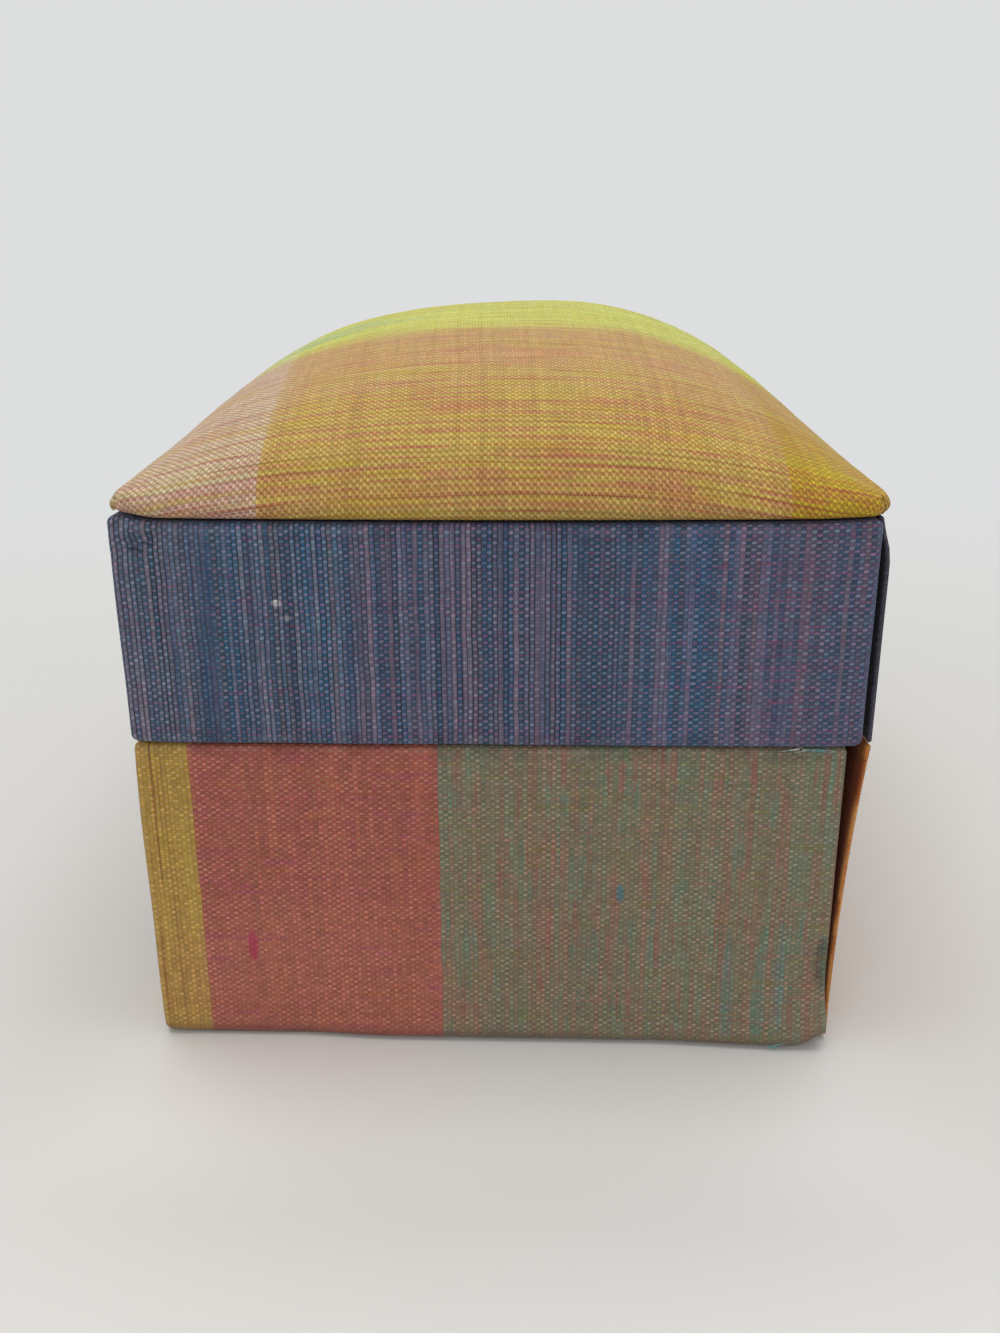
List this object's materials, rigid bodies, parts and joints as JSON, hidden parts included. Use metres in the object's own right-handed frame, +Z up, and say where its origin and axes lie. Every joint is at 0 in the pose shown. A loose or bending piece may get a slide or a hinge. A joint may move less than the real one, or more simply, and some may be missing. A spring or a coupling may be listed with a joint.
{
  "type": "travel jewelry box",
  "caption": "Oblong silk-covered card box with a crowned padded lid on a cloth side hinge, a mirror under the lid and a lift-out tray with ring rolls over a divided well.",
  "frame": {"origin": "middle of the closed box's footprint, on the surface that it stands on", "axes": "+Z up, +Y along the length away from the pictured narrow end, +X towards the hinge side"},
  "size_m": [0.0916, 0.135, 0.0935],
  "materials": {
    "plaid_silk": "handwoven plaid silk: gold, coral red and grey green bands",
    "blue_silk": "handwoven slate blue silk with mauve and teal threads",
    "brown_silk": "handwoven orange brown silk",
    "dark_silk": "handwoven blue black silk",
    "gold_silk": "handwoven gold silk with pink and red cross threads",
    "teal_silk": "plain teal silk lining on card",
    "teal_velvet": "short-pile velvet",
    "ribbon": "satin ribbon",
    "wadding": "soft polyester wadding",
    "greyboard": "bare grey bookbinding board",
    "mirror": "silvered glass"
  },
  "bodies": {
    "base": {"base_underside": "teal_silk", "base_bottom_board": "greyboard", "base_board_front": "greyboard", "base_board_back": "greyboard", "base_board_left": "greyboard", "base_board_right": "greyboard", "base_cover": "plaid_silk", "base_outer_panel": "brown_silk", "base_lining_front": "teal_silk", "base_lining_back": "teal_silk", "base_lining_left": "teal_silk", "base_lining_right": "teal_silk", "base_floor_pad": "teal_velvet", "base_well_divider": "teal_silk", "tray_rest_front": "teal_silk", "tray_rest_back": "teal_silk", "hinge_cloth": "dark_silk"},
    "lid": {"lid_top_board": "greyboard", "lid_board_front": "greyboard", "lid_board_back": "greyboard", "lid_board_left": "greyboard", "lid_board_right": "greyboard", "lid_rim_cover": "blue_silk", "lid_outer_panel": "dark_silk", "lid_lining_front": "teal_silk", "lid_lining_back": "teal_silk", "lid_lining_left": "teal_silk", "lid_lining_right": "teal_silk", "lid_ceiling": "teal_silk", "mirror_frame": "gold_silk", "mirror": "mirror", "lid_pad_board": "greyboard", "lid_pad_wadding": "wadding", "lid_pad_cover": "gold_silk"},
    "tray": {"tray_floor": "teal_silk", "tray_wall_front": "teal_silk", "tray_wall_back": "teal_silk", "tray_wall_left": "teal_silk", "tray_wall_right": "teal_silk", "tray_divider_front": "teal_silk", "tray_divider_back": "teal_silk", "ring_roll_1": "teal_velvet", "ring_roll_2": "teal_velvet", "ring_roll_3": "teal_velvet", "ring_roll_4": "teal_velvet", "tray_pull_front": "ribbon", "tray_pull_back": "ribbon"}
  },
  "joints": [
    {"name": "lid_hinge", "type": "hinge", "parent": "base", "child": "lid", "pos_m": [0.0458, 0, 0.0429], "axis": [0, 1, 0], "range_deg": [0, 165], "deforming": ["hinge_cloth"]},
    {"name": "tray_lift", "type": "slide", "parent": "base", "child": "tray", "axis": [0, 0, 1], "range_m": [0, 0.01345]}
  ]
}
